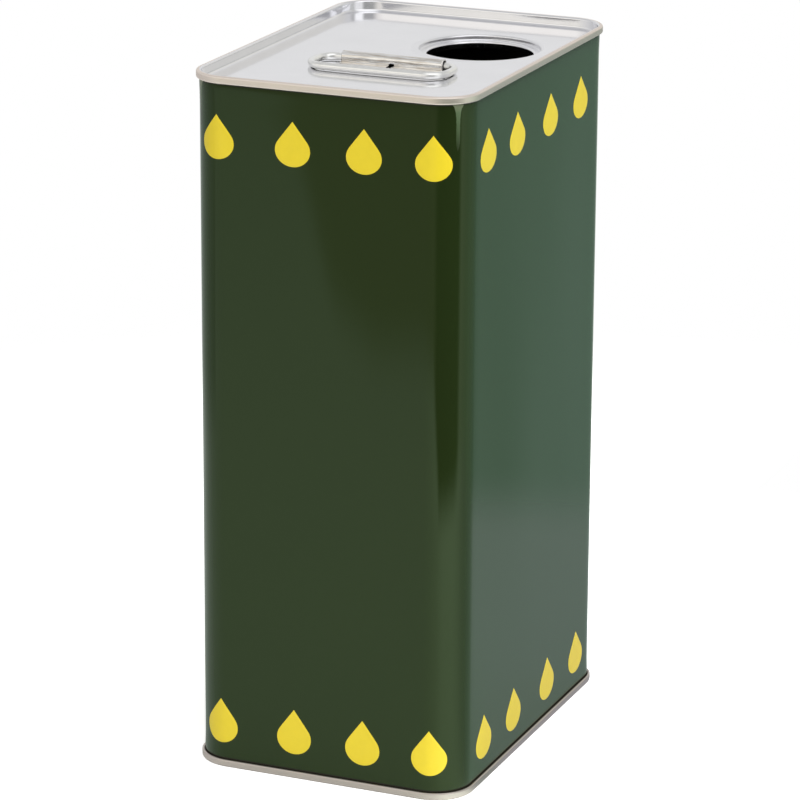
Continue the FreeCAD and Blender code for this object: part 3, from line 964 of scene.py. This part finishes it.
def sweep_paper(look):
    """White sweep paper: matt, pure white to the lens, and fading out where its edge isn't in the picture. In
    reflections its tone paints light and shade by bearing.
    """
    material, tree, shader, spot = new_material("white_sweep_paper", Roughness=0.9, Specular_IOR_Level=0.1)
    fibre = node(tree, "ShaderNodeTexNoise", {"Vector": spot, "Scale": per_feature(0.5), "Detail": 2.0})
    bump = node(tree, "ShaderNodeBump",
                {"Height": fibre.outputs["Fac"], "Strength": 0.05, "Distance": 0.02 * MM})
    tree.links.new(bump.outputs["Normal"], shader.inputs["Normal"])
    from_corner = node(tree, "ShaderNodeVectorMath", {0: spot, 1: STAGE_CORNER}, operation="SUBTRACT")
    place = node(tree, "ShaderNodeSeparateXYZ", {0: from_corner.outputs[0]})
    east, north = place.outputs["X"], place.outputs["Y"]
    lens = node(tree, "ShaderNodeLightPath").outputs["Is Camera Ray"]
    glow = node(tree, "ShaderNodeMath", {0: lens, 1: look.floor_glow}, operation="MULTIPLY")
    tree.links.new(glow.outputs[0], shader.inputs["Emission Strength"])
    painted_paper_tone = by_bearing(tree, east, north, PAPER_PAINTED_LIGHT)
    white = node(tree, "ShaderNodeMix", {0: lens, 6: painted_paper_tone, 7: linear(WHITE)}, data_type="RGBA")
    tree.links.new(white.outputs[2], shader.inputs["Base Color"])
    distance = node(tree, "ShaderNodeVectorMath",
                    {0: from_corner.outputs[0]}, operation="LENGTH").outputs["Value"]
    reach = by_bearing(tree, east, north, PAPER_REACH)
    over = node(tree, "ShaderNodeMath", {0: distance, 1: look.sweep_radius}, operation="DIVIDE")
    share = node(tree, "ShaderNodeMath", {0: over.outputs[0], 1: reach}, operation="DIVIDE")
    begins, gone = PAPER_FADE
    fade = node(
        tree, "ShaderNodeMapRange",
        {"Value": share.outputs[0], "From Min": begins, "From Max": gone, "To Min": 1.0, "To Max": 0.0},
        interpolation_type="SMOOTHSTEP")
    below = node(tree, "ShaderNodeNewGeometry").outputs["Backfacing"]
    above = node(tree, "ShaderNodeMath", {0: 1.0, 1: below}, operation="SUBTRACT")
    seen = node(tree, "ShaderNodeMath", {0: fade.outputs[0], 1: above.outputs[0]}, operation="MULTIPLY")
    tree.links.new(seen.outputs[0], shader.inputs["Alpha"])
    return material


class OILTIN_OT_stage(bpy.types.Operator):
    """Sets up the floor, the light and the camera"""
    bl_idname = "oil_tin.stage"
    bl_label = "Stage"

    def execute(self, context):
        look = context.scene.tin_stage
        self.floor(look)
        self.world(context.scene)
        self.softbox("overhead_softbox", OVERHEAD_PLACE, OVERHEAD_SIZE, look.overhead_power)
        self.softbox("key_softbox", KEY_PLACE, KEY_SIZE, look.key_power)
        self.camera(context.scene, look)
        context.scene.view_settings.view_transform = "Standard"
        return {"FINISHED"}

    def floor(self, look):
        """A flat disc: rings of points by radius and bearing, out to where the paper has faded."""
        rings, spokes, innermost = 24, 96, 0.02
        bearing = np.linspace(2 * np.pi, 0, spokes + 1)[:-1]
        radius = np.linspace(innermost, 1.2 * look.sweep_radius, rings)[:, None]
        points = np.stack([radius * np.cos(bearing), radius * np.sin(bearing), 0 * radius * bearing], -1)
        faces = grid_faces(rings, spokes, False, True).tolist() + [list(range(spokes - 1, -1, -1))]
        mesh = bpy.data.meshes.new("floor")
        mesh.from_pydata(points.reshape(-1, 3).tolist(), [], faces)
        mesh.materials.append(sweep_paper(look))
        floor = bpy.data.objects.new("floor", mesh)
        bpy.context.scene.collection.objects.link(floor)

    def world(self, scene):
        """White to the lens. In reflections a bright room above and a darker one beyond the floor's edge."""
        world = bpy.data.worlds.new("studio")
        scene.world = world
        world.use_nodes = True
        tree = world.node_tree
        tree.nodes.clear()
        way = node(tree, "ShaderNodeTexCoord").outputs["Generated"]
        part = node(tree, "ShaderNodeSeparateXYZ", {0: way})
        facing = node(tree, "ShaderNodeVectorMath", {0: way, 1: GLARE_WAY}, operation="DOT_PRODUCT")
        east, north, up = (part.outputs[axis] for axis in "XYZ")
        # Each layer of light lies over those before it, and comes in smoothly between two bounds of a measure.
        light = by_bearing(tree, east, north, ROOM_LOW)
        for measure, (none, full), layer in ((up, LOW_TO_HIGH, by_bearing(tree, east, north, ROOM_HIGH)),
                                             (up, HIGH_TO_TOP, (*[ROOM_TOP] * 3, 1)),
                                             (facing.outputs["Value"], GLARE_EDGES, (*[GLARE_LEVEL] * 3, 1))):
            share = node(tree, "ShaderNodeMapRange", {"Value": measure, "From Min": none, "From Max": full},
                         interpolation_type="SMOOTHSTEP")
            mixed = node(tree, "ShaderNodeMix", {0: share.outputs[0], 6: light, 7: layer}, data_type="RGBA")
            light = mixed.outputs[2]
        lens = node(tree, "ShaderNodeLightPath").outputs["Is Camera Ray"]
        seen = node(tree, "ShaderNodeMix", {0: lens, 6: light, 7: linear(WHITE)}, data_type="RGBA")
        room = node(tree, "ShaderNodeBackground", {"Color": seen.outputs[2], "Strength": 1.0})
        node(tree, "ShaderNodeOutputWorld", {"Surface": room.outputs[0]})

    def softbox(self, name, place, size, power):
        """An area light aimed at the middle of the tin."""
        light = bpy.data.lights.new(name, "AREA")
        light.shape = "RECTANGLE"
        light.size, light.size_y = size
        light.energy = power
        box = bpy.data.objects.new(name, light)
        box.location = place
        aim = Vector((0, 0, tin_top.z / 2)) - Vector(place)
        box.rotation_euler = aim.to_track_quat("-Z", "Y").to_euler()
        box.visible_glossy = False
        bpy.context.scene.collection.objects.link(box)

    def camera(self, scene, look):
        """Places the camera by its bearing, height and lean round the middle of the tin."""
        a, e = look.azimuth, look.elevation
        back = Vector((math.sin(a) * math.cos(e), -math.cos(a) * math.cos(e), math.sin(e)))
        level = Vector((math.cos(a), math.sin(a), 0))
        steep = back.cross(level)
        right = level * math.cos(look.roll) + steep * math.sin(look.roll)
        up = steep * math.cos(look.roll) - level * math.sin(look.roll)
        data = bpy.data.cameras.new("camera")
        data.lens = look.lens
        data.sensor_width = 36.0
        data.clip_end = 50.0
        camera = bpy.data.objects.new("camera", data)
        middle = Vector((0, 0, tin_top.z / 2))
        turn = Matrix((right, up, back)).transposed().to_4x4()
        camera.matrix_world = Matrix.Translation(
            middle - right * look.aside - up * look.above + back * look.distance) @ turn
        scene.collection.objects.link(camera)
        scene.camera = camera


class OILTIN_PT_sidebar(bpy.types.Panel):
    """Buttons and sizes for the oil tin"""
    bl_idname = "OILTIN_PT_sidebar"
    bl_label = "Oil Tin"
    bl_space_type = "VIEW_3D"
    bl_region_type = "UI"
    bl_category = "Oil Tin"

    def draw(self, context):
        for operator in operators:
            self.layout.operator(operator.bl_idname)
        for name in looks:
            group = getattr(context.scene, name)
            box = self.layout.box()
            for size in group.bl_rna.properties.keys():
                if size not in ("rna_type", "name"):
                    box.prop(group, size)


looks = {
    "tin_body": BodyLook,
    "tin_drops": DropLook,
    "tin_ends": EndLook,
    "tin_clip": ClipLook,
    "tin_wire": WireLook,
    "tin_stage": StageLook,
}
operators = (
    OILTIN_OT_body,
    OILTIN_OT_drops,
    OILTIN_OT_ends,
    OILTIN_OT_clip,
    OILTIN_OT_wire,
    OILTIN_OT_compound,
    OILTIN_OT_stage,
)


def register():
    for look in looks.values():
        bpy.utils.register_class(look)
    for operator in operators:
        bpy.utils.register_class(operator)
    bpy.utils.register_class(OILTIN_PT_sidebar)
    for name, look in looks.items():
        setattr(bpy.types.Scene, name, PointerProperty(type=look))


def unregister():
    for name in looks:
        delattr(bpy.types.Scene, name)
    bpy.utils.unregister_class(OILTIN_PT_sidebar)
    for group in (*operators, *looks.values()):
        bpy.utils.unregister_class(group)


def main():
    """Makes every piece in order."""
    register()
    bpy.ops.oil_tin.body()
    bpy.ops.oil_tin.drops()
    bpy.ops.oil_tin.ends()
    bpy.ops.oil_tin.clip()
    bpy.ops.oil_tin.wire()
    bpy.ops.oil_tin.compound()
    bpy.ops.oil_tin.stage()


if __name__ == "__main__":
    main()
